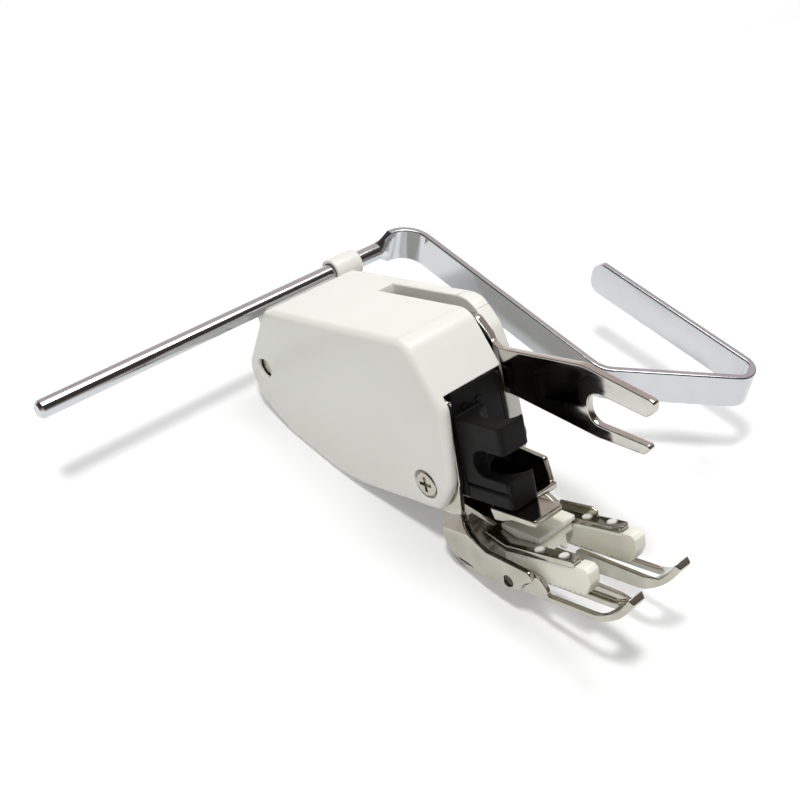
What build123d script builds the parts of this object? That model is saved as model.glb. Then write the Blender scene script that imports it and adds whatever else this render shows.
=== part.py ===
"""Low shank walking foot with quilting guide, an assembly of separate parts.

Frame: +X to the operator's right, +Y to the back of the machine, +Z up along the presser bar.
The origin is where the clamp screw axis meets the presser bar axis. All lengths are in mm.
"""
import os
from math import cos, radians, sin

from build123d import *

# Machine side sizes
BAR_R = 3.6                 # presser bar radius
BAR_CLEAR = 0.05            # groove radius over the bar radius
NOTCH_HALF = 2.15           # half height of the clamp screw notch
NOTCH_END = 0.3             # Y of the centre of the notch's round end
BAR_RELIEF = 0.3            # the bar touches only above and below the notch
SOLE_Z = -19.3              # underside of the sole

# Cover shell
COVER_L, COVER_R = -8.4, 11.0
WALL_L = 1.7                # left wall
SLOT_L, SLOT_R = 5.2, 8.2   # lever slot in the top, the right wall begins at SLOT_R
CEIL_Z = 17.0               # inside of the top wall
TOP_Z = 18.8
HOLE_R = 1.65               # rear hole in the left wall, over the lever shaft
EDGE_R = 1.1                # soft outer edges
RING_X0, RING_X1 = 9.5, 15.0   # ring of the guide holder
RING_T = 0.8

# Sheet metal
T = 1.0                     # frame sheet
TS = 1.0                    # sole and carrier sheet
LEFT_X = -6.65              # outer face of the left side plate
RIGHT_X = 3.9               # inner face of the right side plate
ARM_OUT = 8.3               # outer faces of the two arms, +X and -X
EAR_IN, EAR_OUT = 6.35, 7.1
WEB_Y = 7.7                 # front of the web behind the block
SHELF_Z = -6.85             # top of the shelf under the block

# Axes that run along X, as (Y, Z)
LEVER_AX = (47.4, 7.9)
LIFT_AX = (40.1, 0.2)
HANG_AX = (13.0, 11.0)
SOLE_AX = (-2.9, -17.3)
GUIDE_AX = (LEVER_AX[0] + 0.6, 17.9)

# Pins and their fits
SHAFT_R = 1.5
LIFT_PIN_R = 1.25
HANG_PIN_R = 1.0
SOLE_PIN_R = 0.9
ROD_R = 1.5
RUN = 0.03                  # radial clearance of a running fit
SEAT = 0.05                 # gap between neighbours that stay put

# Lever and cam
LEV_X0, LEV_X1 = 5.45, 6.75   # fork
LEV_STEP = 1.35             # the lever steps right into the cover
STEP_Y0, STEP_Y1 = 1.2, 4.8
CAM_R = 3.5
CAM_E = 1.5                 # cam centre ahead of the shaft
CAM_GAP = 0.04
ARM_HALF = 2.4              # half width of the lift arm and the cam

# Feed carrier and teeth
LEG_IN, LEG_OUT = 4.2, 6.25
TOOTH_IN, TOOTH_OUT = 3.9, 6.15
LEG_FRONT = (-14.9, -12.0)  # sheet centre line, (Y, Z)
LEG_REAR = (-1.5, -13.2)
STAKE_Y = (-7.6, -12.4)
STAKE_X = 5.2
STAKE_R = 0.6
STAKE_HEAD_R, STAKE_HEAD_T = 0.8, 0.25
TIP_R = 0.7                 # corners of the leg tips
BRIDGE_PIN_X, BRIDGE_PIN_Y, BRIDGE_PIN_R = 2.5, -2.7, 0.4
BRIDGE_HALF = 3.95          # the bridge lies between the legs
BRIDGE_T = 0.8
WEB_HALF = 2.0              # the bridge's web dips into the needle opening
NEEDLE_HALF = 2.2           # half width of the needle opening
FLANGE_T = 0.8              # upright edges beside the needle opening
TEETH, TOOTH_H = 14, 0.32
CHEEK_T = 0.9               # cheeks that hang on the carrier pin
STOP_GAP = 0.12             # carrier stop to the web

# Quilting guide
ROD_END = -47.5             # free end of the rod
STRIP_X = 27.6              # X of the first straight of the strip, at the rod
FLAT_X0, FLAT_X1 = 20.0, 22.6  # the round rod turns into the flat strip
STRIP_T, STRIP_W = 1.2, 6.2
STRIP_END_R = 2.5
GUIDE_TILT = 26.0           # the strip's plane goes down to the front

# Fasteners
SCREW_L = (11.4, -4.8)
SCREW_R = (14.0, -4.8)
HEAD_R, HEAD_T, SCREW_SHANK = 2.1, 0.75, 1.25
RIVET_R = 0.5
WIRE_SIDES = 8              # the spring wire is drawn as an octagon
CORNER_R = 0.9              # front corners of the block
RIVET_AT = ((-3.5, 7.4), (-0.5, 7.4))

os.makedirs("parts", exist_ok=True)


def plate(outline, x0, x1, rounds=()):
    """Flat plate in the YZ plane from x0 to x1. rounds holds (y, z, radius)."""
    with BuildPart() as b:
        with BuildSketch(Plane.YZ.offset(x0)) as s:
            with BuildLine():
                Polyline(*outline, close=True)
            make_face()
            for y, z, r in rounds:
                near = [v for v in s.vertices() if abs(v.X - y) + abs(v.Y - z) < 0.02]
                fillet(near, r)
        extrude(amount=x1 - x0)
    return b.part


def pin(axis, x0, x1, r):
    """Cylinder along X about a (Y, Z) axis."""
    with BuildPart() as b:
        with BuildSketch(Plane.YZ.offset(x0)):
            with Locations(axis):
                Circle(r)
        extrude(amount=x1 - x0)
    return b.part


def block(x0, x1, y0, y1, z0, z1):
    """Box between two corners."""
    with BuildPart() as b:
        with Locations(((x0 + x1) / 2, (y0 + y1) / 2, (z0 + z1) / 2)):
            Box(x1 - x0, y1 - y0, z1 - z0)
    return b.part


def leg_z(y):
    """Centre line height of the carrier's leg."""
    k = (y - LEG_FRONT[0]) / (LEG_REAR[0] - LEG_FRONT[0])
    return LEG_FRONT[1] + k * (LEG_REAR[1] - LEG_FRONT[1])


LEG_DIR = Vector(0, LEG_REAR[0] - LEG_FRONT[0], LEG_REAR[1] - LEG_FRONT[1]).normalized()
LEG_UP = Vector(0, -LEG_DIR.Z, LEG_DIR.Y)


def keep(part, name):
    """Label one node and write its file."""
    part.label = name
    export_step(part, f"parts/{name}.step")


# Cover
rear = LEVER_AX[0]
COVER_OUT = [(9.2, -9.0), (5.6, -4.3), (4.0, 8.7), (9.5, TOP_Z), (rear - 3.4, TOP_Z), (rear + 4.6, 8.2),
             (rear + 3.6, 2.6), (rear - 2.9, -3.4), (rear - 16.4, -9.0)]
COVER_ROUNDS = (2.5, 6.0, 2.5, 3.5, 3.5, 4.0, 4.5, 14.0, 25.0)
with BuildPart() as cover_b:
    rounds = [(y, z, r) for (y, z), r in zip(COVER_OUT, COVER_ROUNDS)]
    add(plate(COVER_OUT, COVER_L, COVER_R, rounds=rounds))
    sides = cover_b.faces().sort_by(Axis.X)
    fillet(sides[0].edges() + sides[-1].edges(), EDGE_R)
    # inside, open at the front and below
    add(plate([(2, -14), (2, 10.3), (6.7, 10.3), (10.4, CEIL_Z), (rear - 4.0, CEIL_Z), (rear + 1.6, 10.6),
               (rear + 2.8, 7.4), (rear + 1.9, 3.6), (rear - 1.2, 0.6), (rear - 1.2, -14)],
              COVER_L + WALL_L, SLOT_R), mode=Mode.SUBTRACT)
    # slot for the lever, open through the top and the front
    add(plate([(2, 5), (2, 25), (30.5, 25), (30.5, CEIL_Z - 1), (20, 5)], SLOT_L, SLOT_R,
              rounds=((30.5, 25, 1.0),)), mode=Mode.SUBTRACT)
    # the right wall stands back from the front
    add(plate([(0, 25), (13.8, 25), (13.0, 18.9), (9.6, 14.2), (8.7, 10.4), (8.5, -5.0),
               (10.2, -10), (0, -10)], SLOT_R - 0.1, COVER_R + 1,
              rounds=((13.0, 18.9, 3.0), (9.6, 14.2, 3.0), (8.5, -5.0, 3.0))), mode=Mode.SUBTRACT)
    # boss from the right wall to the right side plate
    add(pin(SCREW_R, RIGHT_X + T + SEAT, SLOT_R + 0.2, 3.2))
    # screw holes with their recesses, and the rear hole with room for the ring
    add(pin(SCREW_L, COVER_L - 1, COVER_L + 0.8, HEAD_R + 0.3), mode=Mode.SUBTRACT)
    add(pin(SCREW_L, COVER_L - 1, 0, SCREW_SHANK + 0.1), mode=Mode.SUBTRACT)
    add(pin(SCREW_R, COVER_R - 0.8, COVER_R + 1, HEAD_R + 0.3), mode=Mode.SUBTRACT)
    add(pin(SCREW_R, 4, COVER_R + 1, SCREW_SHANK + 0.1), mode=Mode.SUBTRACT)
    add(pin(LEVER_AX, COVER_L - 1, 0, HOLE_R), mode=Mode.SUBTRACT)
    add(pin(LEVER_AX, COVER_L + WALL_L - 0.7, 0, 2.9), mode=Mode.SUBTRACT)
    # guide holder: a saddle along the rear edge and a thin ring at its right end
    gy, gz = GUIDE_AX
    add(plate([(gy - 2.6, gz - 1.3), (gy + 2.3, gz - 7.7), (gy + 3.0, gz - 2.3), (gy + 2.2, gz + 0.1),
               (gy, gz), (gy - 1.8, gz - 0.9)], -5.0, RING_X0, rounds=((gy + 3.0, gz - 2.3, 1.2),)))
    add(plate([(gy - 1.8, gz - 0.9), (gy + 1.0, gz - 4.9), (gy + 2.2, gz - 0.9)], RING_X0 - 2.0, RING_X1))
    add(pin(GUIDE_AX, RING_X0, RING_X1, ROD_R + RING_T))
    add(pin(GUIDE_AX, -10, RING_X1 + 3, ROD_R + RUN), mode=Mode.SUBTRACT)
keep(cover_b.part, "cover")

# Shank block
with BuildPart() as block_b:
    add(block(-5.8, -0.3, -4.3, 4.75, -6.7, 6.6))
    fillet(block_b.edges().filter_by(Axis.Z).sort_by(Axis.Y)[:2], CORNER_R)
    add(block(LEFT_X + T + SEAT, RIGHT_X - SEAT, 4.75, WEB_Y - SEAT, -6.7, 10.2))
    # screw notch, open to the front
    add(block(-9, 3, -6, NOTCH_END, -NOTCH_HALF, NOTCH_HALF), mode=Mode.SUBTRACT)
    add(pin((NOTCH_END, 0), -9, 3, NOTCH_HALF), mode=Mode.SUBTRACT)
    # presser bar groove, relieved beside the notch
    with Locations((0, 0, -7)):
        Cylinder(BAR_R + BAR_CLEAR, 20, align=(Align.CENTER, Align.CENTER, Align.MIN), mode=Mode.SUBTRACT)
    Cylinder(BAR_R + BAR_RELIEF, 2 * NOTCH_HALF, mode=Mode.SUBTRACT)
    # a line along the foot of the block
    add(block(-6, -5.6, -6, 4.4, -4.4, -4.0), mode=Mode.SUBTRACT)
    for x, z in RIVET_AT:
        with Locations(Plane((x, 4, z), z_dir=(0, 1, 0))):
            Cylinder(RIVET_R, 9, mode=Mode.SUBTRACT)
keep(block_b.part, "shank_block")

# Frame
REAR_OUT = [(rear - 11.9, -5.6), (rear - 2.2, 0.6), (rear + 0.8, 5.0), (rear + 1.2, 9.2), (rear - 1.9, 12.5)]
LEFT_OUT = [(4.7, 9.2), (5.6, -4.4), (8.6, -8.6), (26, -7.9), *REAR_OUT, (30, 13.6), (10, 13.2), (6.9, 9.8),
            (5.6, 9.6)]
RIGHT_OUT = [(4.9, 9.4), (4.9, -2.4), (-1.8, -3.2), (-2.7, -8.6), (10, -8.6), (26, -7.9), *REAR_OUT,
             (30, 13.6), (10, 13.2), (6.9, 9.8)]
ARM_OUTLINE = [(5.6, -3.0), (12, -3.0), (11.6, -8.8), (9.8, -11.2), (9.5, -14.3), (8.1, -16.1), (5.8, -16.6),
               (2.0, -18.2), (-0.8, -18.75), (-3.9, -18.75), (-5.3, -18.0), (-6.0, -16.9), (-7.9, -15.9),
               (-7.7, -14.5), (0.8, -13.5), (5.6, -10.6), (6.6, -9.4)]
ARM_ROUNDS = ((9.5, -14.3, 2.0), (8.1, -16.1, 1.5), (-3.9, -18.75, 1.5), (-7.7, -14.5, 0.8),
              (-7.9, -15.9, 0.6), (5.6, -10.6, 2.0))


def arm(plate_in, plate_out):
    """Arm that steps out from a side plate: folded strip cut to the arm's outline."""
    side = 1 if plate_out > 0 else -1
    with BuildPart() as b:
        with BuildSketch(Plane.XZ.offset(-14)) as s:
            with BuildLine():
                Polyline((plate_out, 0), (plate_out, -9.6), (side * ARM_OUT, -11.8), (side * ARM_OUT, -22),
                         (side * (ARM_OUT - T), -22), (side * (ARM_OUT - T), -12.3), (plate_in, -10.1),
                         (plate_in, 0), close=True)
            make_face()
            fold = [v for v in s.vertices() if -13 < v.Y < -7]
            fillet(fold, 0.8)
        extrude(amount=30)
        add(plate(ARM_OUTLINE, -12, 12, rounds=ARM_ROUNDS), mode=Mode.INTERSECT)
    return b.part


with BuildPart() as frame_b:
    add(plate(LEFT_OUT, LEFT_X, LEFT_X + T, rounds=((26, -7.9, 20.0), (*REAR_OUT[-1], 3.0))))
    add(plate(RIGHT_OUT, RIGHT_X, RIGHT_X + T, rounds=((-1.8, -3.2, 0.6), (-2.7, -8.6, 0.6))))
    add(arm(LEFT_X + T, LEFT_X))
    add(arm(RIGHT_X, RIGHT_X + T))
    add(block(LEFT_X + 0.6, RIGHT_X + 0.5, WEB_Y, WEB_Y + T, SHELF_Z - T, 9.4))      # web behind the block
    # shelf under the block, its left part free of the side plate and turned down
    with BuildSketch(Plane.XY.offset(SHELF_Z - T)) as s:
        with BuildLine():
            Polyline((-6.3, -8.6), (-0.2, -8.6), (-0.2, -3.3), (RIGHT_X + 0.5, -3.3),
                     (RIGHT_X + 0.5, WEB_Y + T), (-4.4, WEB_Y + T), (-4.4, 0.4), (-6.3, 0.4), close=True)
        make_face()
        fillet([v for v in s.vertices() if v.X < -5 or v.Y < -8], 0.6)
    extrude(amount=T)
    add(plate([(-6.0, SHELF_Z - 0.4), (-0.2, SHELF_Z - 0.4), (-0.2, SHELF_Z - 1.9), (-2.0, SHELF_Z - 1.7)],
              -6.3, -5.6, rounds=((-0.2, SHELF_Z - 1.9, 0.4),)))
    add(block(LEFT_X + 0.6, RIGHT_X + 0.5, 24.0, 24.0 + T, -7.7, -3.0))    # rear cross piece
    add(pin(LEVER_AX, -9, 9, SHAFT_R + RUN), mode=Mode.SUBTRACT)
    add(pin(LIFT_AX, -9, 9, LIFT_PIN_R), mode=Mode.SUBTRACT)
    add(pin(SOLE_AX, -9, 9, SOLE_PIN_R + RUN), mode=Mode.SUBTRACT)
    add(pin(SCREW_L, -9, -4, SCREW_SHANK), mode=Mode.SUBTRACT)
    add(pin(SCREW_R, 3, 9, SCREW_SHANK), mode=Mode.SUBTRACT)
    for x, z in RIVET_AT:
        with Locations(Plane((x, 8, z), z_dir=(0, 1, 0))):
            Cylinder(RIVET_R, 6, mode=Mode.SUBTRACT)
keep(frame_b.part, "main_frame")

# Rivets through the block and the web
with BuildPart() as rivets_b:
    for x, z in RIVET_AT:
        with Locations(Plane((x, 4.65, z), z_dir=(0, 1, 0))):
            Cylinder(RIVET_R, WEB_Y + T - 4.65 + 0.1, align=(Align.CENTER, Align.CENTER, Align.MIN))
        with Locations(Plane((x, WEB_Y + T, z), z_dir=(0, 1, 0))):
            Cylinder(1.0, 0.6, align=(Align.CENTER, Align.CENTER, Align.MIN))
keep(rivets_b.part, "block_rivets")


def cover_screw(side, at, face, tip):
    """Pan head screw with a cross recess, driven along X from one side."""
    with BuildPart() as b:
        head = face - side * (0.05 + HEAD_T)
        add(pin(at, min(face - side * 0.05, head), max(face - side * 0.05, head), HEAD_R))
        rim = b.edges().filter_by(GeomType.CIRCLE).sort_by(Axis.X)[-1 if side > 0 else 0]
        fillet(rim, 0.45)
        add(pin(at, min(head, tip), max(head, tip), SCREW_SHANK))
        y, z = at
        for hy, hz in ((1.25, 0.28), (0.28, 1.25)):
            x0, x1 = sorted((face + side, face - side * 0.55))
            add(block(x0, x1, y - hy, y + hy, z - hz, z + hz), mode=Mode.SUBTRACT)
    return b.part


with BuildPart() as screws_b:
    add(cover_screw(-1, SCREW_L, COVER_L, LEFT_X + T + 0.5))
    add(cover_screw(1, SCREW_R, COVER_R, RIGHT_X))
keep(screws_b.part, "cover_screws")

# Pin of the lift arm, held in both side plates
keep(pin(LIFT_AX, LEFT_X, RIGHT_X + T, LIFT_PIN_R), "lift_pin")

# Lever
LEVER_OUT = [(rear - 0.8, 10.1), (rear - 7.4, 12.0), (25, 13.2), (18, 16.6), (10.6, 16.6), (7.4, 12.9),
             (4.6, 12.7), (-11.2, 12.9), (-22.4, 9.8), (-23.2, 9.4), (-22.8, 7.8), (-21.4, 6.95),
             (-11.4, 9.3), (-10.6, 4.1), (-20.9, 2.55), (-21.5, 2.0), (-20.0, 0.9), (-11.9, 1.8),
             (4.4, 5.5), (25, 4.6), (rear - 7.4, 4.4), (rear - 0.8, 5.7)]
LEVER_ROUNDS = (0, 0, 6.0, 2.0, 1.5, 1.2, 0, 6.0, 0.5, 0.5, 0.7, 0.6, 2.2, 2.2, 0.4, 0.4, 0.6, 5.0, 10.0,
                0, 0, 0)
with BuildPart() as lever_b:
    back = (LEV_X1 - LEV_X0) * 0.18     # keeps the sheet's thickness through the step
    with BuildSketch(Plane.XY.offset(-5)) as s:
        with BuildLine():
            Polyline((LEV_X0, -30), (LEV_X0, STEP_Y0), (LEV_X0 + LEV_STEP, STEP_Y1),
                     (LEV_X0 + LEV_STEP, rear + 9), (LEV_X1 + LEV_STEP, rear + 9),
                     (LEV_X1 + LEV_STEP, STEP_Y1 - back), (LEV_X1, STEP_Y0 - back), (LEV_X1, -30), close=True)
        make_face()
        fillet([v for v in s.vertices() if abs(v.Y - STEP_Y0) < 5], 0.8)
    extrude(amount=30)
    rounds = [(y, z, r) for (y, z), r in zip(LEVER_OUT, LEVER_ROUNDS) if r]
    add(plate(LEVER_OUT, LEV_X0 - 1, LEV_X1 + LEV_STEP + 1, rounds=rounds), mode=Mode.INTERSECT)
    add(pin(LEVER_AX, LEV_X0 + LEV_STEP, LEV_X1 + LEV_STEP, 2.4))
    add(pin(LEVER_AX, LEV_X0 - 1, LEV_X1 + LEV_STEP + 1, SHAFT_R), mode=Mode.SUBTRACT)
keep(lever_b.part, "fork_lever")

keep(pin(LEVER_AX, COVER_L + 1.15, LEV_X1 + LEV_STEP, SHAFT_R), "lever_shaft")

with BuildPart() as ring_b:
    add(pin(LEVER_AX, LEFT_X - 0.45, LEFT_X - 0.05, 2.5))
    add(pin(LEVER_AX, -9, 0, SHAFT_R), mode=Mode.SUBTRACT)
    add(block(-9, 0, LEVER_AX[0] - 0.9, LEVER_AX[0] + 0.9, LEVER_AX[1] - 4, LEVER_AX[1]), mode=Mode.SUBTRACT)
keep(ring_b.part, "lever_ring")

CAM_AX = (LEVER_AX[0] - CAM_E, LEVER_AX[1])
with BuildPart() as cam_b:
    add(pin(CAM_AX, -ARM_HALF, ARM_HALF, CAM_R))
    add(pin(LEVER_AX, -5, 5, SHAFT_R), mode=Mode.SUBTRACT)
keep(cam_b.part, "lever_cam")

# Lift arm
TAIL_Z = CAM_AX[1] - CAM_R - CAM_GAP
with BuildPart() as lift_b:
    py, pz = LIFT_AX
    add(plate([(12.0, 13.2), (14.2, 13.3), (30, 6.2), (py, pz + 3.0), (CAM_AX[0] - 3.0, TAIL_Z),
               (CAM_AX[0] + 2.4, TAIL_Z), (CAM_AX[0] + 1.5, TAIL_Z - 1.4), (py + 2.6, pz - 1.4),
               (py, pz - 2.6), (24, 2.4), (11.6, 8.8)], -ARM_HALF, ARM_HALF))
    add(pin(HANG_AX, -ARM_HALF, ARM_HALF, 2.6))
    add(pin(LIFT_AX, -ARM_HALF, ARM_HALF, 2.6))
    add(block(-ARM_HALF, ARM_HALF, 19.4, 24.6, 6.0, 9.5))                  # seat of the lift spring
    add(block(-5, 5, 19.4, 24.6, 9.5, 15), mode=Mode.SUBTRACT)
    add(pin(LIFT_AX, -5, 5, LIFT_PIN_R + RUN), mode=Mode.SUBTRACT)
    add(pin(HANG_AX, -5, 5, HANG_PIN_R), mode=Mode.SUBTRACT)
keep(lift_b.part, "lift_arm")

keep(pin(HANG_AX, -3.75, 3.75, HANG_PIN_R), "carrier_pin")

# Feed carrier
with BuildPart() as carrier_b:
    h = TS / 2
    fy, fz = LEG_FRONT
    ry, rz = LEG_REAR
    uy, uz = LEG_UP.Y * h, LEG_UP.Z * h
    add(plate([(fy + uy, fz + uz), (ry + uy, rz + uz), (4.0, -10.9), (11.0, -9.2), (15.2, -9.2),
               (15.2, -10.2), (11.2, -10.2), (4.2, -11.9), (ry - uy, rz - uz), (fy - uy, fz - uz)],
              -LEG_OUT, LEG_OUT, rounds=((4.0, -10.9, 3.0), (4.2, -11.9, 4.0))))
    add(block(-LEG_IN, LEG_IN, -20, -3.8, -16, -8), mode=Mode.SUBTRACT)
    for x in (-LEG_OUT, LEG_OUT):
        add(block(min(x, x * 0.6), max(x, x * 0.6), 2.4, 16, -14, -7), mode=Mode.SUBTRACT)
    tips = [e for e in carrier_b.edges() if e.length < 1.05 and e.center().Y < fy + 0.3]
    fillet(tips, TIP_R)
    # upright flange on the outer edge of the right leg
    add(plate([(-9.0, leg_z(-9.0)), (-1.6, leg_z(-1.6)), (-1.6, leg_z(-1.6) + 2.0), (-8.0, leg_z(-8.0) + 1.9),
               (-9.0, leg_z(-9.0) + 1.3)], LEG_OUT - 0.45, LEG_OUT, rounds=((-8.0, leg_z(-8.0) + 1.9, 0.5),)))
    # cheeks that hang on the carrier pin, and the seat of the feed spring
    for x0 in (-3.6, 2.7):
        add(plate([(10.0, -10.0), (15.2, -10.1), (15.6, -3.0), (15.2, 11.0), (10.8, 11.0), (10.2, -8.0)],
                  x0, x0 + CHEEK_T))
        # stop against the web, level with the lift pin
        add(block(x0, x0 + CHEEK_T, WEB_Y + T + STOP_GAP, 11.0, LIFT_AX[1] - 1, LIFT_AX[1] + 1))
        add(pin(HANG_AX, x0, x0 + CHEEK_T, 2.2))
    add(block(-3.6, 3.6, 14.5, 15.4, -9.6, -2.6))
    add(pin(HANG_AX, -5, 5, HANG_PIN_R + RUN), mode=Mode.SUBTRACT)
    for x in (-STAKE_X, STAKE_X):
        for y in STAKE_Y:
            with Locations(Plane((x, y, leg_z(y)), x_dir=(1, 0, 0), z_dir=LEG_UP)):
                Cylinder(STAKE_R, 3, mode=Mode.SUBTRACT)
    for x in (-BRIDGE_PIN_X, BRIDGE_PIN_X):
        with Locations(Plane((x, BRIDGE_PIN_Y, leg_z(BRIDGE_PIN_Y)), x_dir=(1, 0, 0), z_dir=LEG_UP)):
            Cylinder(BRIDGE_PIN_R, 3, mode=Mode.SUBTRACT)
keep(carrier_b.part, "feed_carrier")


def teeth(side):
    """Nylon block under one leg, with two stakes and a row of teeth below."""
    x0, x1 = sorted((side * TOOTH_IN, side * TOOTH_OUT))
    under = TS / 2 / LEG_UP.Z
    front = LEG_FRONT[0] - 0.15
    outline = [(-1.0, -13.2 - under), (LEG_REAR[0], LEG_REAR[1] - under), (front, leg_z(front) - under),
               (front, leg_z(front) - 0.1), (-16.9, -12.0), (-17.5, -12.7), (-17.4, -14.5), (-16.5, -16.2)]
    y0, z0, y1, z1 = -15.6, -16.8, -2.0, -17.3
    for i in range(TEETH):
        a, c = i / TEETH, (i + 0.25) / TEETH
        outline.append((y0 + a * (y1 - y0), z0 + a * (z1 - z0)))
        outline.append((y0 + c * (y1 - y0), z0 + c * (z1 - z0) + TOOTH_H))
    outline += [(y1, z1), (-1.0, -16.6)]
    with BuildPart() as b:
        add(plate(outline, x0, x1, rounds=((-16.9, -12.0, 0.5), (-17.5, -12.7, 0.4), (-17.4, -14.5, 1.5))))
        for y in STAKE_Y:
            foot = Plane((side * STAKE_X, y, leg_z(y)), x_dir=(1, 0, 0), z_dir=LEG_UP)
            with Locations(foot):
                Cylinder(STAKE_R, TS + 0.4)
            with Locations(foot.offset(TS / 2)):
                Cylinder(STAKE_HEAD_R, STAKE_HEAD_T, align=(Align.CENTER, Align.CENTER, Align.MIN))
            top = foot.offset(TS / 2 + STAKE_HEAD_T).origin
            rim = [e for e in b.edges().filter_by(GeomType.CIRCLE) if (e.arc_center - top).length < 0.01]
            chamfer(rim, 0.12)
    return b.part


keep(teeth(-1), "teeth_left")
keep(teeth(1), "teeth_right")

# Bridge between the legs
with BuildPart() as bridge_b:
    over = TS / 2 / LEG_UP.Z
    y0, y1 = -6.3, -1.6
    add(plate([(y0, leg_z(y0) + over), (y1, leg_z(y1) + over), (1.2, leg_z(y1) + over + 1.15 * BRIDGE_T),
               (1.2, leg_z(y1) + over + 2.15 * BRIDGE_T), (y0, leg_z(y0) + over + BRIDGE_T)],
              -BRIDGE_HALF, BRIDGE_HALF))
    # web set back below the front edge, arched over the needle
    add(block(-BRIDGE_HALF + 0.4, BRIDGE_HALF - 0.4, y0 + 0.5, y0 + 1.5, -13.9, leg_z(y0) + over + 0.1))
    add(block(-WEB_HALF, WEB_HALF, y0 + 0.5, y0 + 1.5, -16.2, -13.8))
    with Locations(Plane((0, y0, -16.4), z_dir=(0, 1, 0))):
        Cylinder(WEB_HALF - 0.6, 4, mode=Mode.SUBTRACT)
    for x in (-BRIDGE_PIN_X, BRIDGE_PIN_X):
        with Locations(Plane((x, BRIDGE_PIN_Y, leg_z(BRIDGE_PIN_Y)), x_dir=(1, 0, 0), z_dir=LEG_UP)):
            Cylinder(BRIDGE_PIN_R, TS)
keep(bridge_b.part, "feed_bridge")

# Sole
with BuildPart() as sole_outline_b:
    with BuildSketch(Plane.XY.offset(-25)) as s:
        with BuildLine():
            half = [(0, 13.2), (5.6, 13.2), (6.6, 11.0), (7.1, 6.0), (7.1, -8.8), (7.3, -10.0), (7.3, -19.0),
                    (6.8, -23.8), (5.9, -25.9), (4.3, -25.9), (3.2, -23.8), (NEEDLE_HALF, -19.5),
                    (NEEDLE_HALF, -2.1)]
            Polyline(*half)
            Polyline(*[(-x, y) for x, y in half])
            ThreePointArc((NEEDLE_HALF, -2.1), (0, 0.2), (-NEEDLE_HALF, -2.1))
        make_face()
        tip = [v for v in s.vertices() if v.Y < -25]
        fillet(tip, 0.7)
        # slots for the teeth
        mid = (TOOTH_IN + TOOTH_OUT) / 2
        with Locations((-mid, -8.3), (mid, -8.3)):
            SlotOverall(24.6, TOOTH_OUT - TOOTH_IN + 0.4, rotation=90, mode=Mode.SUBTRACT)
    extrude(amount=15)

with BuildPart() as sole_b:
    top = SOLE_Z + TS
    with BuildSketch(Plane.YZ.offset(-7.3)):
        with BuildLine():
            Line((6.5, SOLE_Z), (-18.5, SOLE_Z))
            ThreePointArc((-18.5, SOLE_Z), (-22.3, -18.0), (-25.2, -15.1))
            Line((-25.2, -15.1), (-24.5, -14.4))
            ThreePointArc((-24.5, -14.4), (-21.8, -17.1), (-18.5, top))
            Line((-18.5, top), (6.5, top))
            ThreePointArc((6.5, top), (9.9, -17.2), (11.6, -14.4))
            Line((11.6, -14.4), (12.6, -14.4))
            ThreePointArc((12.6, -14.4), (10.6, -17.9), (6.5, SOLE_Z))
        make_face()
    extrude(amount=14.6)
    # flanges stand up beside the needle and run out into the toes
    for x0 in (-NEEDLE_HALF - FLANGE_T, NEEDLE_HALF):
        add(plate([(-6.8, SOLE_Z + 0.2), (-6.8, -16.3), (-19.5, -17.0), (-23.0, -17.0), (-22.0, -17.9),
                   (-19.0, SOLE_Z + 0.2)], x0, x0 + FLANGE_T, rounds=((-6.8, -16.3, 0.8),)))
    for x0 in (-EAR_OUT, EAR_IN):
        with BuildSketch(Plane.YZ.offset(x0)):
            with BuildLine():
                Polyline((-9.6, -18.8), (3.6, -18.8), (3.6, -16.8), (2.6, -15.8), (-6.2, -15.2))
                ThreePointArc((-6.2, -15.2), (-8.7, -16.2), (-9.6, -18.8))
            make_face()
        extrude(amount=EAR_OUT - EAR_IN)
    # outline from above, with the needle opening and the two teeth slots
    add(sole_outline_b.part, mode=Mode.INTERSECT)
    add(pin(SOLE_AX, -9, 9, SOLE_PIN_R), mode=Mode.SUBTRACT)
keep(sole_b.part, "sole_plate")

with BuildPart() as sole_pins_b:
    add(pin(SOLE_AX, -ARM_OUT + 0.35, -EAR_IN, SOLE_PIN_R))
    add(pin(SOLE_AX, EAR_IN, ARM_OUT - 0.35, SOLE_PIN_R))
keep(sole_pins_b.part, "sole_pins")

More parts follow.
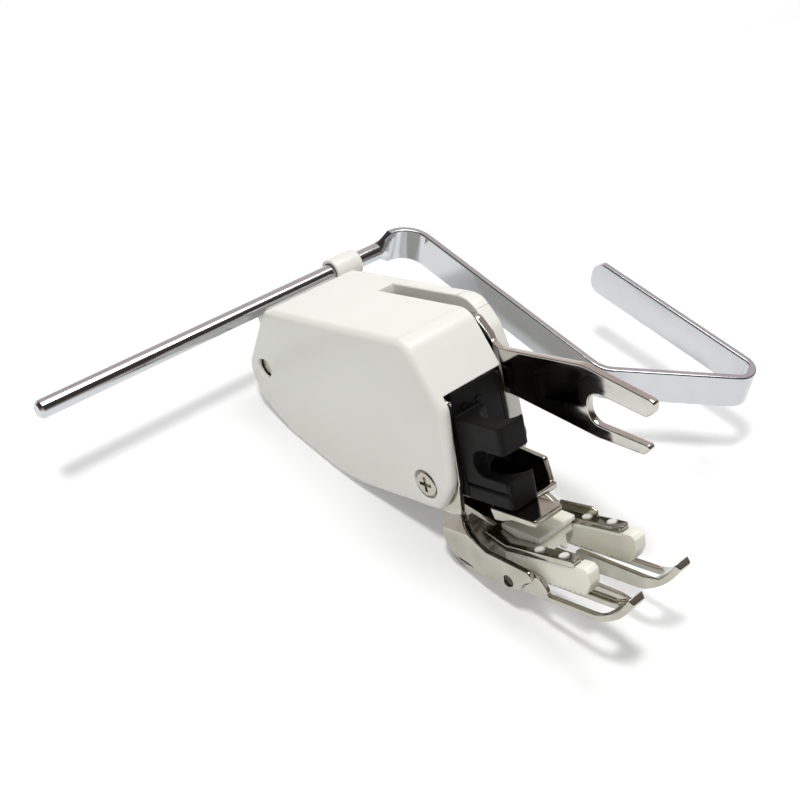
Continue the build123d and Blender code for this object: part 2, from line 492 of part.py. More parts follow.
# Quilting guide: a round rod, pressed flat and bent in the plane of the strip
c, s_ = cos(radians(GUIDE_TILT)), sin(radians(GUIDE_TILT))
lie = Plane((0, GUIDE_AX[0], GUIDE_AX[1]), x_dir=(1, 0, 0), z_dir=(0, -s_, c))   # local y runs to the back
with BuildPart() as guide_b:
    add(pin(GUIDE_AX, ROD_END, FLAT_X0, ROD_R))
    chamfer(guide_b.edges().sort_by(Axis.X)[0], 0.5)
    with BuildSketch(Plane.YZ.offset(FLAT_X0)):
        with Locations(GUIDE_AX):
            Circle(ROD_R)
    flat = Plane((FLAT_X1, GUIDE_AX[0], GUIDE_AX[1]), x_dir=(0, c, s_), z_dir=(1, 0, 0))
    with BuildSketch(flat):
        RectangleRounded(STRIP_T, STRIP_W, 0.3)
    loft()
    with BuildLine(lie) as path:
        FilletPolyline((FLAT_X1, 0), (STRIP_X, 0), (STRIP_X - 1.2, -46.0), (48.0, -64.9), (47.6, -26.5),
                       radius=(4.6, 4.0, 2.8))
    with BuildSketch(flat):
        RectangleRounded(STRIP_T, STRIP_W, 0.3)
    sweep(path=path.wires()[0])
    # round end of the strip
    along = (path.wires()[0] % 1).normalized()
    with BuildSketch(Plane(path.wires()[0] @ 1, x_dir=along, z_dir=along.cross(lie.z_dir))):
        Rectangle(8, 9)
        with Locations((-6, 0)):
            RectangleRounded(12, STRIP_W + 0.02, STRIP_END_R, mode=Mode.SUBTRACT)
    extrude(amount=3, both=True, mode=Mode.SUBTRACT)
keep(guide_b.part, "guide_bar")


def coil(foot, axis, radius, wire, height, turns):
    """Compression spring: a round wire wound about an axis from its foot."""
    with BuildPart() as b:
        with BuildLine():
            turn = Helix(pitch=height / turns, height=height, radius=radius, center=foot, direction=axis)
        with BuildSketch(Plane(turn @ 0, z_dir=turn % 0)):
            RegularPolygon(wire / 2, WIRE_SIDES)
        sweep(path=turn)
    return b.part


keep(coil((0, 22.0, 9.9), (0, 0, 1), 1.9, 0.55, CEIL_Z - 9.9 - 0.4, 5), "lift_spring")
keep(coil((0, 15.8, -5.4), (0, 1, 0), 1.7, 0.5, 7.8, 6), "feed_spring")
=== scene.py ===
# %% [markdown]
# # A walking foot for a sewing machine
# The foot lies on a white table on the heel of its sole and on the belly of its cover. The packed
# model is loaded as a fixed frame: every solid is already at its real size and place, in metres.
# This file gives the solids their finishes and soft rims, rounds a lip, folds the lever a little further
# back, winds the two springs, and sets up table, light and camera.

# %% Load the frame
import math

import bmesh
import bpy
from mathutils import Matrix, Vector
from mathutils.bvhtree import BVHTree


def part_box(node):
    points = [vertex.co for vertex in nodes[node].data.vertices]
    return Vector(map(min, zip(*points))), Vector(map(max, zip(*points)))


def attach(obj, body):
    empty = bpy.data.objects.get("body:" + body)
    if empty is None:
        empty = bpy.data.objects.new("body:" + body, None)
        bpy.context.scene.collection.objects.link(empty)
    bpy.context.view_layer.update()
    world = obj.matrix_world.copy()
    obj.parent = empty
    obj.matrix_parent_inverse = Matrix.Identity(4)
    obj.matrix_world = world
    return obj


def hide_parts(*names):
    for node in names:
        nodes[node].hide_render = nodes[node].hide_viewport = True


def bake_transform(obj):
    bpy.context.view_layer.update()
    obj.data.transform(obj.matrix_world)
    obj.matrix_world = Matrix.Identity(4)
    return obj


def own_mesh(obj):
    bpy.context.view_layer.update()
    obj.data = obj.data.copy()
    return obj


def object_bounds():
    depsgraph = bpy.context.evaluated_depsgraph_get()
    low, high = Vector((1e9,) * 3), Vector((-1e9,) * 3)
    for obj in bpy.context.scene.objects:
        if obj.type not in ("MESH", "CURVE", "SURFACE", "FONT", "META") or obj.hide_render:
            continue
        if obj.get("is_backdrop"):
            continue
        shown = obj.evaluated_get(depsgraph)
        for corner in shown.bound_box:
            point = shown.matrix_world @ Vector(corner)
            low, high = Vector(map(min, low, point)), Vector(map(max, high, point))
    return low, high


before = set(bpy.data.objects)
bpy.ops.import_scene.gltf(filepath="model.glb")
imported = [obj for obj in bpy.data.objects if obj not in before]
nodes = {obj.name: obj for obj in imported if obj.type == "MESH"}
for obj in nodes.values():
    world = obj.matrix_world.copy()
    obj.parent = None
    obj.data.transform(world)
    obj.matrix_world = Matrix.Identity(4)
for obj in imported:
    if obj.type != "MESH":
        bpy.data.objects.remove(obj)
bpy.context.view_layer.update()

MM = 0.001

# %% [markdown]
# ## A starting point for every finish
# Each finish below is one material with a Principled shader. They all read Object coordinates, so a
# pattern has a real size: a noise scale of 1000 makes spots of about one millimetre. These helpers
# only make the empty material and the few nodes that every finish uses.


# %% Helpers for the finishes
def new_finish(name, **sockets):
    """An empty material with one Principled shader, its constant sockets set."""
    finish = bpy.data.materials.new(name)
    finish.use_nodes = True
    shader = finish.node_tree.nodes["Principled BSDF"]
    for socket, value in sockets.items():
        shader.inputs[socket.replace("_", " ")].default_value = value
    return finish, finish.node_tree, shader


def spots(tree, scale, detail=3.0, stretch=(1, 1, 1)):
    """Noise on Object coordinates; stretch below 1 draws the spots out along that axis."""
    place = tree.nodes.new("ShaderNodeTexCoord")
    drawn = tree.nodes.new("ShaderNodeMapping")
    drawn.inputs["Scale"].default_value = stretch
    noise = tree.nodes.new("ShaderNodeTexNoise")
    noise.inputs["Scale"].default_value = scale
    noise.inputs["Detail"].default_value = detail
    tree.links.new(place.outputs["Object"], drawn.inputs["Vector"])
    tree.links.new(drawn.outputs["Vector"], noise.inputs["Vector"])
    return noise.outputs["Fac"]


def between(tree, value, low, high):
    """Maps the middle of a noise on to a range of numbers."""
    spread = tree.nodes.new("ShaderNodeMapRange")
    spread.inputs["From Min"].default_value = 0.3
    spread.inputs["From Max"].default_value = 0.7
    spread.inputs["To Min"].default_value = low
    spread.inputs["To Max"].default_value = high
    tree.links.new(value, spread.inputs["Value"])
    return spread.outputs["Result"]


def tint(tree, value, dark, light):
    """Mixes two colours by a noise."""
    ramp = tree.nodes.new("ShaderNodeValToRGB")
    ramp.color_ramp.elements[0].position = 0.3
    ramp.color_ramp.elements[1].position = 0.7
    ramp.color_ramp.elements[0].color = (*dark, 1)
    ramp.color_ramp.elements[1].color = (*light, 1)
    tree.links.new(value, ramp.inputs["Fac"])
    return ramp.outputs["Color"]


def relief(tree, shader, value, depth, strength):
    """Turns a noise into small bumps of a real depth in metres."""
    bump = tree.nodes.new("ShaderNodeBump")
    bump.inputs["Distance"].default_value = depth
    bump.inputs["Strength"].default_value = strength
    tree.links.new(value, bump.inputs["Height"])
    tree.links.new(bump.outputs["Normal"], shader.inputs["Normal"])


# %% [markdown]
# ## Ivory plastic of the cover
# The cover is moulded in glossy ivory plastic. Real mouldings are never perfectly even: the colour
# drifts a little and the gloss has faint clouds, so both follow a slow noise, with a very shallow
# ripple on top.


# %% Ivory plastic
def ivory_plastic():
    finish, tree, shader = new_finish("ivory_plastic", IOR=1.49, Coat_Weight=0.35, Coat_Roughness=0.06)
    slow, fine = spots(tree, 90), spots(tree, 420, 2)
    colour = tint(tree, slow, (0.825, 0.82, 0.755), (0.845, 0.84, 0.78))
    tree.links.new(colour, shader.inputs["Base Color"])
    tree.links.new(between(tree, fine, 0.15, 0.20), shader.inputs["Roughness"])
    relief(tree, shader, fine, 0.00001, 0.08)
    return finish


# %% [markdown]
# ## Black paint of the shank block
# The block is painted matte black. A fine grain in the bump breaks up its highlights the way sprayed
# paint does, and rubbed spots are a shade lighter.


# %% Black paint
# The same black also stands as painted shade on one edge of the frame.
def black_paint_and_shade():
    finish, tree, shader = new_finish("black_paint_and_shade", IOR=1.30)
    slow, grain = spots(tree, 350), spots(tree, 5200, 2)
    colour = tint(tree, slow, (0.0022, 0.0020, 0.0020), (0.0045, 0.0042, 0.0042))
    tree.links.new(colour, shader.inputs["Base Color"])
    tree.links.new(between(tree, slow, 0.50, 0.64), shader.inputs["Roughness"])
    relief(tree, shader, grain, 0.00003, 0.35)
    return finish


# %% [markdown]
# ## Bright plated steel
# Frame, lever, sole and guide are bright plated steel. A metal's look is what it mirrors, so the
# colour is nearly white and the roughness low. Rolling leaves faint streaks along one direction: a
# noise drawn out along that axis changes the roughness and the bump.


# %% Plated steel
def plated_steel(name, dark, light, rough, streak, depth):
    finish, tree, shader = new_finish(name, Metallic=1.0)
    slow, fine = spots(tree, 260), spots(tree, 2600, 3, streak)
    tree.links.new(tint(tree, slow, dark, light), shader.inputs["Base Color"])
    tree.links.new(between(tree, fine, *rough), shader.inputs["Roughness"])
    relief(tree, shader, fine, depth, 0.3)
    return finish


# %% [markdown]
# ## Nylon of the feed teeth
# The teeth blocks and the bridge are milky nylon. Light goes a little way in, so they get a short
# subsurface radius of under a millimetre and a soft gloss.


# %% Nylon
def milky_nylon():
    finish, tree, shader = new_finish(
        "milky_nylon", Subsurface_Weight=0.6, Subsurface_Scale=0.0012, IOR=1.53)
    shader.inputs["Subsurface Radius"].default_value = (1.0, 0.95, 0.8)
    slow, fine = spots(tree, 300), spots(tree, 1800, 4)
    colour = tint(tree, slow, (0.90, 0.875, 0.75), (0.94, 0.915, 0.80))
    tree.links.new(colour, shader.inputs["Base Color"])
    tree.links.new(between(tree, fine, 0.30, 0.42), shader.inputs["Roughness"])
    relief(tree, shader, fine, 0.00003, 0.2)
    return finish


# %% [markdown]
# ## Give each node its finish
# One table says which finish each node wears, in the order in which the foot would be assembled.

# %% Dress the nodes
FINISHES = {
    "ivory": ivory_plastic(),
    "paint_and_shade": black_paint_and_shade(),
    "sheet": plated_steel(
        "plated_sheet", (0.43, 0.41, 0.35), (0.52, 0.50, 0.44),
        (0.10, 0.20), (1, 0.15, 1), 1e-5),
    "lever": plated_steel(
        "plated_lever", (0.52, 0.50, 0.46), (0.60, 0.58, 0.54),
        (0.06, 0.12), (1, 0.1, 1), 6e-6),
    "guide": plated_steel(
        "plated_guide", (0.57, 0.58, 0.60), (0.60, 0.61, 0.63),
        (0.07, 0.14), (0.15, 1, 1), 6e-6),
    "nylon": milky_nylon(),
    "pin": plated_steel(
        "turned_steel", (0.30, 0.27, 0.21), (0.36, 0.33, 0.27),
        (0.22, 0.34), (0.2, 1, 1), 1e-5),
    "shaft": plated_steel(
        "ground_shaft", (0.60, 0.58, 0.50), (0.70, 0.68, 0.60),
        (0.42, 0.52), (0.2, 1, 1), 1e-5),
    "oiled": plated_steel(
        "oiled_pin", (0.07, 0.06, 0.05), (0.14, 0.12, 0.10),
        (0.25, 0.40), (0.2, 1, 1), 1e-5),
    "wire": plated_steel(
        "drawn_wire", (0.42, 0.42, 0.43), (0.50, 0.50, 0.51),
        (0.20, 0.32), (1, 1, 1), 1e-5),
    "cast": plated_steel(
        "plain_casting", (0.52, 0.52, 0.53), (0.62, 0.62, 0.63),
        (0.38, 0.52), (1, 1, 1), 4e-5),
}
WEARS = {
    "cover": "ivory", "shank_block": "paint_and_shade", "block_rivets": "paint_and_shade", "main_frame": "sheet",
    "cover_screws": "sheet", "lift_pin": "pin", "fork_lever": "lever", "lever_shaft": "shaft",
    "lever_cam": "pin", "lever_ring": "wire", "lift_arm": "cast", "carrier_pin": "pin",
    "feed_carrier": "sheet", "feed_bridge": "nylon", "teeth_left": "nylon", "teeth_right": "nylon",
    "sole_plate": "sheet", "sole_pins": "oiled", "guide_bar": "guide", "lift_spring": "wire",
    "feed_spring": "wire",
}
for node, finish in WEARS.items():
    nodes[node].data.materials.clear()
    nodes[node].data.materials.append(FINISHES[finish])
print("finishes:", len(FINISHES), "on nodes:", len(WEARS))

# %% [markdown]
# ## Soft edges on the stamped and moulded pieces
# A knife sharp edge never catches the light, but a stamped or tumbled one does: in the photograph
# every sheet shows a thin bright rim. A Bevel modifier rounds such edges. It needs a joined mesh, and a
# solid comes in as loose triangles, so a copy is merged, its flat faces are put back together, and
# the copy with its bevel stands in for the solid. Weighted normals keep the large faces flat beside
# the new rims. Slivers at cut edges can throw a bevelled point far out, so every point that left the
# solid's surface by more than the rim is pulled back on to it.


# %% Soft edged copies
RIM_SEGMENTS = 2
RIM_ANGLE, COVER_RIM_ANGLE = math.radians(32), math.radians(48)
FLAT_ANGLE = math.radians(0.5)
FLAT_WEIGHT = 90
STRAY_SHARE = 0.7


def as_mesh(maker):
    """The plain mesh that an object's modifiers make."""
    return bpy.data.meshes.new_from_object(maker.evaluated_get(bpy.context.evaluated_depsgraph_get()))


def soft_edges(node, body, width, weld=0.002, reshape=None):
    """A merged copy of a node with its sharp edges rounded by width; width and weld in millimetres."""
    joined = bmesh.new()
    joined.from_mesh(nodes[node].data)
    bmesh.ops.remove_doubles(joined, verts=joined.verts, dist=weld * MM)
    if reshape:
        reshape(joined)
    bmesh.ops.dissolve_limit(joined, angle_limit=FLAT_ANGLE, verts=joined.verts, edges=joined.edges)
    open_edges = sum(1 for e in joined.edges if len(e.link_faces) != 2)
    for face in joined.faces:
        face.smooth = True
    surface = BVHTree.FromBMesh(joined)
    mesh = bpy.data.meshes.new(node + "_joined")
    joined.to_mesh(mesh)
    joined.free()
    rough = bpy.data.objects.new(node + "_joined", mesh)
    bpy.context.scene.collection.objects.link(rough)
    rim = rough.modifiers.new("rim", "BEVEL")
    rim.width = width * MM
    rim.segments = RIM_SEGMENTS
    rim.limit_method = "ANGLE"
    rim.angle_limit = COVER_RIM_ANGLE if node == "cover" else RIM_ANGLE
    rim.use_clamp_overlap = False
    level = rough.modifiers.new("level", "WEIGHTED_NORMAL")
    level.weight = FLAT_WEIGHT
    shaped = as_mesh(rough)
    bpy.data.objects.remove(rough)
    strays = 0
    for v in shaped.vertices:
        nearest = surface.find_nearest(v.co)[0]
        if (v.co - nearest).length > STRAY_SHARE * width * MM:
            v.co = nearest
            strays += 1
    piece = bpy.data.objects.new(node + "_soft", shaped)
    bpy.context.scene.collection.objects.link(piece)
    shaped.materials.clear()
    shaped.materials.append(nodes[node].data.materials[0])
    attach(piece, body)
    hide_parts(node)
    print(piece.name, "faces:", len(shaped.polygons), "open edges:", open_edges, "strays:", strays)
    return piece


SOFT = {"shank_block": ("frame", 0.25), "feed_carrier": ("carrier", 0.12), "sole_plate": ("sole", 0.14),
        "feed_bridge": ("carrier", 0.12), "teeth_left": ("carrier", 0.12), "teeth_right": ("carrier", 0.12)}
for node, how in SOFT.items():
    soft_edges(node, *how)

# %% [markdown]
# ## Painted shade on the frame's edge
# The strip beside the block is black, where the plated front edge of the frame's
# right plate would shine. That black is painted shade: the faces that look
# forward there wear the block's black paint, and the rest of the frame stays plated. What makes it
# black can't be seen, so this is a guess: the faces that look forward there wear the block's paint,
# and the rest of the frame stays plated.

# %% Frame with painted shade on one edge
EDGE_X, EDGE_Y = 3.85 * MM, (4.6 * MM, 5.2 * MM)
LOOKS_FORWARD = -0.3
frame_piece = soft_edges("main_frame", "frame", 0.22)
# The block's black paint is added as the frame's second finish, to carry the painted shade.
frame_piece.data.materials.append(FINISHES["paint_and_shade"])
painted_shade = 0
# Forward-looking faces of the right plate's front edge, beside the block, get the painted shade.
for face in frame_piece.data.polygons:
    beside_block = face.center.x > EDGE_X and EDGE_Y[0] < face.center.y < EDGE_Y[1]
    if beside_block and face.normal.y < LOOKS_FORWARD:
        face.material_index = 1
        painted_shade += 1
print("painted faces:", painted_shade)

# %% [markdown]
# ## The lip of the cover
# The cover's right wall ends in a lip that runs from the top down the front in one soft curve. The
# solid has a corner there. A cutter with a hollow round takes the corner off, the way a router with a
# round over bit would, before the rims are softened.

# %% Round the lip
LIP_X = (8.1 * MM, 11.6 * MM)
LIP_CORNER, LIP_FRONT = Vector((12.97, 18.76)) * MM, Vector((-0.586, -0.810))
LIP_R, LIP_STEPS = 4.5 * MM, 10
LIP_WELD = 0.02 * MM


def round_lip(joined):
    """Cuts the corner of the cover's right wall to an arc that meets the top and the front smoothly."""
    half_turn = math.acos(-LIP_FRONT.x) / 2
    reach = LIP_R * math.tan(half_turn)
    top_end = LIP_CORNER + Vector((reach, 0))
    centre = top_end - Vector((0, LIP_R))
    outline = []
    for step in range(LIP_STEPS + 1):
        turn = math.pi / 2 + 2 * half_turn * step / LIP_STEPS
        outline.append(centre + LIP_R * Vector((math.cos(turn), math.sin(turn))))
    outward = (outline[-1] - centre).normalized()
    outline += [outline[-1] + outward * MM, LIP_CORNER + Vector((-2, 2)) * MM,
                top_end + Vector((0, 1)) * MM]
    cutter = bmesh.new()
    ends = [[cutter.verts.new((x, y, z)) for y, z in outline] for x in LIP_X]
    cutter.faces.new(ends[0])
    cutter.faces.new(reversed(ends[1]))
    for k in range(len(outline)):
        n = (k + 1) % len(outline)
        cutter.faces.new((ends[0][n], ends[0][k], ends[1][k], ends[1][n]))
    bmesh.ops.recalc_face_normals(cutter, faces=cutter.faces)
    shapes = []
    for name, shape in (("cover_whole", joined), ("lip_cutter", cutter)):
        mesh = bpy.data.meshes.new(name)
        shape.to_mesh(mesh)
        shapes.append(bpy.data.objects.new(name, mesh))
        bpy.context.scene.collection.objects.link(shapes[-1])
    cut = shapes[0].modifiers.new("cut", "BOOLEAN")
    cut.object = shapes[1]
    cut.operation = "DIFFERENCE"
    cut.solver = "EXACT"
    rounded = as_mesh(shapes[0])
    for shape in shapes:
        bpy.data.objects.remove(shape)
    cutter.free()
    joined.clear()
    joined.from_mesh(rounded)
    bmesh.ops.remove_doubles(joined, verts=joined.verts, dist=LIP_WELD)
    print("lip faces:", len(joined.faces))


soft_edges("cover", "frame", 0.30, weld=0.12, reshape=round_lip)

# %% [markdown]
# ## The lever's fold
# The lever is one strip of sheet that steps to the right inside the cover. In the photograph its
# face is still flat where it leaves the cover, because it mirrors the white slope there, so the fold
# lies a little further back than in the solid. The copy is first pressed flat and then folded again.

# %% Fold the lever
LEVER_T = 1.3 * MM
FOLD_FROM, FOLD_TO = 5.4 * MM, 8.4 * MM


def fold_lever(joined):
    """Presses the stepped lever flat on its front plane and folds it again further back."""
    low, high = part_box("fork_lever")
    step = high.x - low.x - LEVER_T
    for v in joined.verts:
        on_left = v.normal.x < 0
        v.co.x = low.x if on_left else low.x + LEVER_T
    for y in (FOLD_FROM, FOLD_TO):
        everything = joined.verts[:] + joined.edges[:] + joined.faces[:]
        bmesh.ops.bisect_plane(joined, geom=everything, plane_co=(0, y, 0), plane_no=(0, 1, 0))
    for v in joined.verts:
        share = min(max((v.co.y - FOLD_FROM) / (FOLD_TO - FOLD_FROM), 0.0), 1.0)
        v.co.x += share * step
    print("lever step in mm:", round(step / MM, 2))


soft_edges("fork_lever", "lever", 0.22, reshape=fold_lever)

# %% [markdown]
# ## The two springs
# Behind the feed carrier a small compression spring pushes it forward, and a second one under the
# cover pushes the lift arm down. Their wire follows a rule, so they are wound in Geometry Nodes: a
# spiral curve, its pitch eased so that the end turns lie close, and a round section drawn along it.
# The sizes are inputs of the tree and come from each spring's solid.
# The feed spring is a little shorter than its solid, so that the carrier doesn't cut into it.


# %% Winding tree
def winding_tree():
    """Geometry Nodes tree that winds a compression spring about Z, from its foot."""
    tree = bpy.data.node_groups.new("wound_spring", "GeometryNodeTree")
    for name in ("Coil Radius", "Wire Radius", "Height", "Turns"):
        tree.interface.new_socket(name=name, in_out="INPUT", socket_type="NodeSocketFloat")
    tree.interface.new_socket(name="Finish", in_out="INPUT", socket_type="NodeSocketMaterial")
    tree.interface.new_socket(name="Geometry", in_out="OUTPUT", socket_type="NodeSocketGeometry")
    sizes = tree.nodes.new("NodeGroupInput")
    out = tree.nodes.new("NodeGroupOutput")
    spiral = tree.nodes.new("GeometryNodeCurveSpiral")
    spiral.inputs["Resolution"].default_value = 32
    spiral.inputs["Height"].default_value = 0.0
    along_wire = tree.nodes.new("GeometryNodeSplineParameter")
    ease = tree.nodes.new("ShaderNodeMapRange")
    ease.interpolation_type = "SMOOTHSTEP"
    rise = tree.nodes.new("ShaderNodeCombineXYZ")
    lift = tree.nodes.new("GeometryNodeSetPosition")
    section = tree.nodes.new("GeometryNodeCurvePrimitiveCircle")
    section.inputs["Resolution"].default_value = 12
    wire = tree.nodes.new("GeometryNodeCurveToMesh")
    wire.inputs["Fill Caps"].default_value = True
    smooth = tree.nodes.new("GeometryNodeSetShadeSmooth")
    real = tree.nodes.new("GeometryNodeRealizeInstances")
    dress = tree.nodes.new("GeometryNodeSetMaterial")
    link = tree.links.new
    link(sizes.outputs["Turns"], spiral.inputs["Rotations"])
    link(sizes.outputs["Coil Radius"], spiral.inputs["Start Radius"])
    link(sizes.outputs["Coil Radius"], spiral.inputs["End Radius"])
    link(along_wire.outputs["Factor"], ease.inputs["Value"])
    link(sizes.outputs["Height"], ease.inputs["To Max"])
    link(ease.outputs["Result"], rise.inputs["Z"])
    link(spiral.outputs["Curve"], lift.inputs["Geometry"])
    link(rise.outputs["Vector"], lift.inputs["Offset"])
    link(sizes.outputs["Wire Radius"], section.inputs["Radius"])
    link(lift.outputs["Geometry"], wire.inputs["Curve"])
    link(section.outputs["Curve"], wire.inputs["Profile Curve"])
    link(wire.outputs["Mesh"], smooth.inputs["Geometry"])
    link(smooth.outputs["Geometry"], real.inputs["Geometry"])
    link(real.outputs["Geometry"], dress.inputs["Geometry"])
    link(sizes.outputs["Finish"], dress.inputs["Material"])
    link(dress.outputs["Geometry"], out.inputs["Geometry"])
    return tree


# %% Wind the two springs
def wind_spring(name, node, wire_r, turns, lie, room=0.0):
    """Winds a spring in its solid's box; lie turns it on to its axis, room shortens its foot."""
    low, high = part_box(node)
    middle, half = (low + high) / 2, (high - low) / 2
    length = max(half.y, half.z)
    sizes = {"Coil Radius": half.x - wire_r, "Wire Radius": wire_r,
             "Height": 2 * (length - wire_r) - room, "Turns": turns, "Finish": FINISHES["wire"]}
    winder = bpy.data.objects.new("spring_winder", bpy.data.meshes.new("spring_winder"))
    bpy.context.scene.collection.objects.link(winder)
    wind = winder.modifiers.new("wind", "NODES")
    wind.node_group = WINDING
    for socket in WINDING.interface.items_tree:
        if socket.in_out == "INPUT":
            wind[socket.identifier] = sizes[socket.name]
    wound = as_mesh(winder)
    bpy.data.objects.remove(winder)
    centre = Matrix.Translation((0, 0, wire_r - length + room))
    wound.transform(Matrix.Translation(middle) @ lie @ centre)
    spring = bpy.data.objects.new(name, wound)
    bpy.context.scene.collection.objects.link(spring)
    print(name, "faces:", len(wound.polygons))
    return spring, low, high


WINDING = winding_tree()
ALONG_Y = Matrix.Rotation(math.radians(-90), 4, "X")
FEED_WIRE, FEED_TURNS = 0.25 * MM, 6.5
LIFT_WIRE, LIFT_TURNS = 0.275 * MM, 5.5
FEED_ROOM = 0.4 * MM      # room for the carrier at the lever's upper limit
feed_spring, low, high = wind_spring(
    "feed_spring_wound", "feed_spring", FEED_WIRE, FEED_TURNS, ALONG_Y, room=FEED_ROOM)
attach(feed_spring, "frame")
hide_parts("feed_spring")
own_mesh(feed_spring)

lift_spring, low, high = wind_spring(
    "lift_spring_wound", "lift_spring", LIFT_WIRE, LIFT_TURNS, Matrix.Identity(4))
middle = (low + high) / 2
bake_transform(lift_spring)
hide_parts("lift_spring")

# %% [markdown]
# ## The table top
# The foot doesn't stand upright here: it lies on its heel and its belly. The table is the plane that
# touches the sole from below and just meets the lowest side of the cover. Which point of the curled
# heel it touches depends on the lean, so the two are worked out in turn until they agree. It ends a
# little behind the foot, so that a low view from behind still shows the foot.

# %% Table top
def side_points(node):
    return [(v.co.y, v.co.z) for v in nodes[node].data.vertices]


sole_points, cover_points = side_points("sole_plate"), side_points("cover")
lean = 0.0
for step in range(8):
    heel_y, heel_z = min(sole_points, key=lambda p: p[1] * math.cos(lean) - p[0] * math.sin(lean))
    lean = min(math.atan2(z - heel_z, y - heel_y) for y, z in cover_points if y > heel_y + 5 * MM)
up = Vector((0, -math.sin(lean), math.cos(lean)))
along = Vector((0, math.cos(lean), math.sin(lean)))
table_at = Vector((0, heel_y, heel_z))
print("table lean in degrees:", round(math.degrees(lean), 2))

TABLE_HALF, TABLE_BACK = 0.9, 0.085
TABLE_WHITE, TABLE_GLOW = 0.78, 0.26
table_mesh = bpy.data.meshes.new("table_top")
corners = [table_at + Vector((x, 0, 0)) + along * y
           for x, y in ((-TABLE_HALF, -TABLE_HALF), (TABLE_HALF, -TABLE_HALF), (TABLE_HALF, TABLE_BACK),
                        (-TABLE_HALF, TABLE_BACK))]
table_mesh.from_pydata(corners, [], [(0, 1, 2, 3)])
table = bpy.data.objects.new("table_top", table_mesh)
bpy.context.scene.collection.objects.link(table)


def white_table():
    """Matte white that the camera and the metal see a little brighter, so that it reads as paper white."""
    finish = bpy.data.materials.new("white_table")
    finish.use_nodes = True
    tree = finish.node_tree
    tree.nodes.clear()
    matte = tree.nodes.new("ShaderNodeBsdfDiffuse")
    matte.inputs["Color"].default_value = (TABLE_WHITE, TABLE_WHITE, TABLE_WHITE, 1)
    glow = tree.nodes.new("ShaderNodeEmission")
    path = tree.nodes.new("ShaderNodeLightPath")
    lift = tree.nodes.new("ShaderNodeMath")
    lift.operation = "MULTIPLY"
    lift.inputs[1].default_value = TABLE_GLOW
    seen = tree.nodes.new("ShaderNodeMath")
    seen.operation = "MAXIMUM"
    mirrored = tree.nodes.new("ShaderNodeMath")
    mirrored.operation = "MAXIMUM"
    tree.links.new(path.outputs["Is Glossy Ray"], mirrored.inputs[0])
    tree.links.new(path.outputs["Is Transmission Ray"], mirrored.inputs[1])
    tree.links.new(path.outputs["Is Camera Ray"], seen.inputs[0])
    tree.links.new(mirrored.outputs[0], seen.inputs[1])
    tree.links.new(seen.outputs[0], lift.inputs[0])
    tree.links.new(lift.outputs[0], glow.inputs["Strength"])
    both = tree.nodes.new("ShaderNodeAddShader")
    end = tree.nodes.new("ShaderNodeOutputMaterial")
    tree.links.new(matte.outputs[0], both.inputs[0])
    tree.links.new(glow.outputs[0], both.inputs[1])
    tree.links.new(both.outputs[0], end.inputs["Surface"])
    return finish


table_mesh.materials.append(white_table())
table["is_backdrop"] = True

# %% [markdown]
# ## Light
# Two lamps hang over the table. The small one on the left draws the crisp shadows under the toes, and
# the broad one on the right lights the top of the cover while its left side falls into shade. The
# room around is white at the horizon and dark overhead, with one pale window high on the right,
# which gives plated metal something to mirror.

# %% Lamp and room
def soft_lamp(name, direction, distance, size, power, mirrored):
    """Square lamp that looks at the foot from a direction given as right, back and up of the table."""
    right_part, back_part, up_part = direction
    towards = (Vector((1, 0, 0)) * right_part + along * back_part + up * up_part).normalized()
    data = bpy.data.lights.new(name, "AREA")
    data.size = size
    data.energy = power
    lamp = bpy.data.objects.new(name, data)
    lamp.location = table_at + towards * distance
    lamp.rotation_mode = "QUATERNION"
    lamp.rotation_quaternion = towards.to_track_quat("Z", "Y")
    lamp.visible_glossy = mirrored
    bpy.context.scene.collection.objects.link(lamp)


LAMP_AWAY = 0.6
soft_lamp("left_lamp", (-0.34, -0.08, 1.0), LAMP_AWAY, 0.07, 1.9, False)
soft_lamp("right_lamp", (0.30, 0.12, 1.0), LAMP_AWAY, 0.30, 1.45, True)

ROOM_GLOW = 0.30
WINDOW_AT = Vector((0.55, 0.14, 0.81)).normalized()
room = bpy.data.worlds.new("white_room")
bpy.context.scene.world = room
room.use_nodes = True
tree = room.node_tree
tree.nodes.clear()
place = tree.nodes.new("ShaderNodeTexCoord")
height = tree.nodes.new("ShaderNodeVectorMath")
height.operation = "DOT_PRODUCT"
height.inputs[1].default_value = up
shade = tree.nodes.new("ShaderNodeValToRGB")
shade.color_ramp.elements[0].position = 0.0
shade.color_ramp.elements[1].position = 0.38
shade.color_ramp.elements[0].color = (1, 1, 1, 1)
shade.color_ramp.elements[1].color = (0.06, 0.05, 0.048, 1)
middle = shade.color_ramp.elements.new(0.14)
middle.color = (0.42, 0.36, 0.35, 1)
tree.links.new(place.outputs["Generated"], height.inputs[0])
tree.links.new(height.outputs["Value"], shade.inputs["Fac"])
path = tree.nodes.new("ShaderNodeLightPath")
white = tree.nodes.new("ShaderNodeBackground")
walls = tree.nodes.new("ShaderNodeBackground")
tree.links.new(shade.outputs["Color"], walls.inputs["Color"])
nearness = tree.nodes.new("ShaderNodeVectorMath")
nearness.operation = "DOT_PRODUCT"
nearness.inputs[1].default_value = WINDOW_AT
pane = tree.nodes.new("ShaderNodeValToRGB")
pane.color_ramp.elements[0].position = 0.66
pane.color_ramp.elements[1].position = 0.94
pane.color_ramp.elements[0].color = (0, 0, 0, 1)
pane.color_ramp.elements[1].color = (0.62, 0.55, 0.54, 1)
tree.links.new(place.outputs["Generated"], nearness.inputs[0])
tree.links.new(nearness.outputs["Value"], pane.inputs["Fac"])
window = tree.nodes.new("ShaderNodeBackground")
tree.links.new(pane.outputs["Color"], window.inputs["Color"])
mirror = tree.nodes.new("ShaderNodeAddShader")
tree.links.new(walls.outputs[0], mirror.inputs[0])
tree.links.new(window.outputs[0], mirror.inputs[1])
fill = tree.nodes.new("ShaderNodeBackground")
fill.inputs["Strength"].default_value = ROOM_GLOW
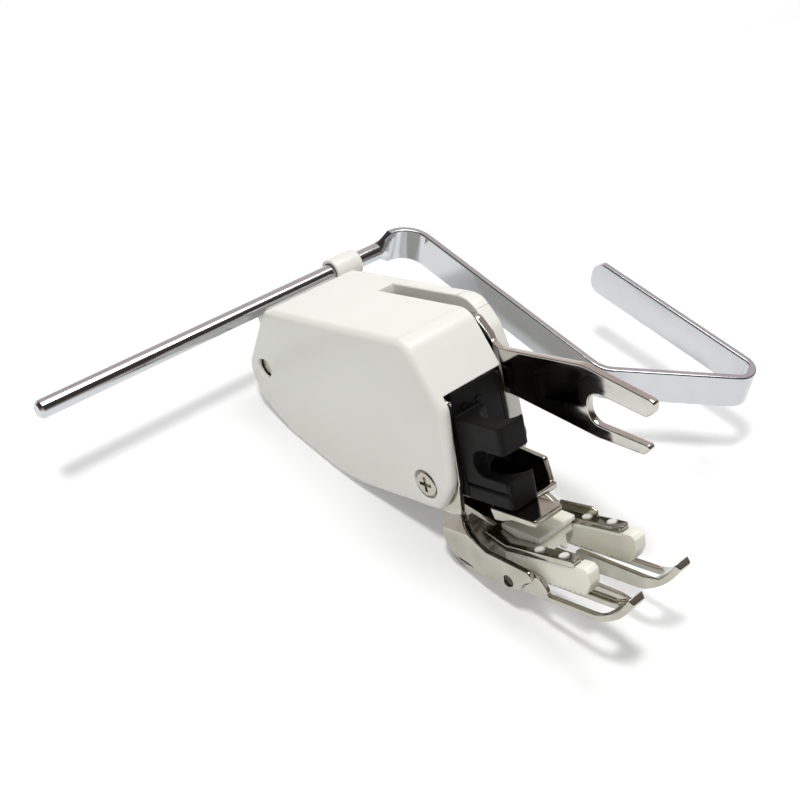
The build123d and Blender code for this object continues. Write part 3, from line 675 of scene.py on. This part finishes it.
mirror_mix = tree.nodes.new("ShaderNodeMixShader")
camera_mix = tree.nodes.new("ShaderNodeMixShader")
seen = tree.nodes.new("ShaderNodeMath")
seen.operation = "MAXIMUM"
end = tree.nodes.new("ShaderNodeOutputWorld")
tree.links.new(path.outputs["Is Glossy Ray"], seen.inputs[0])
tree.links.new(path.outputs["Is Transmission Ray"], seen.inputs[1])
tree.links.new(seen.outputs[0], mirror_mix.inputs["Fac"])
tree.links.new(fill.outputs[0], mirror_mix.inputs[1])
tree.links.new(mirror.outputs[0], mirror_mix.inputs[2])
tree.links.new(path.outputs["Is Camera Ray"], camera_mix.inputs["Fac"])
tree.links.new(mirror_mix.outputs[0], camera_mix.inputs[1])
tree.links.new(white.outputs[0], camera_mix.inputs[2])
white.inputs["Color"].default_value = (1, 1, 1, 1)
tree.links.new(camera_mix.outputs[0], end.inputs["Surface"])

# %% [markdown]
# ## Camera
# The camera stands ahead of the foot and to its left, about two hands away, and is rolled a little.
# Its place, aim, roll and lens were fitted to straight edges of the foot in the photograph.

# %% Camera
CAMERA_AT = Vector((-121.5, -137.2, 90.4)) * MM
CAMERA_AIM = Vector((-11.06, 9.40, 10.95)) * MM
CAMERA_ROLL = math.radians(12.47)
LENS, SENSOR = 63.0, 36.0

camera_data = bpy.data.cameras.new("camera")
camera_data.lens = LENS
camera_data.sensor_width = SENSOR
camera_data.clip_start = 0.01
camera = bpy.data.objects.new("camera", camera_data)
level = (CAMERA_AIM - CAMERA_AT).to_track_quat("-Z", "Y").to_matrix().to_4x4()
camera.matrix_world = Matrix.Translation(CAMERA_AT) @ level @ Matrix.Rotation(-CAMERA_ROLL, 4, "Z")
bpy.context.scene.collection.objects.link(camera)
bpy.context.scene.camera = camera
bpy.context.scene.view_settings.view_transform = "Standard"

# %% [markdown]
# ## The size of the dressed foot
# The box round every shown piece except the table is measured, and its size is printed in millimetres.

# %% Size of the dressed foot
low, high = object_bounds()
print("visual size in mm:", [round(v / MM, 1) for v in high - low])
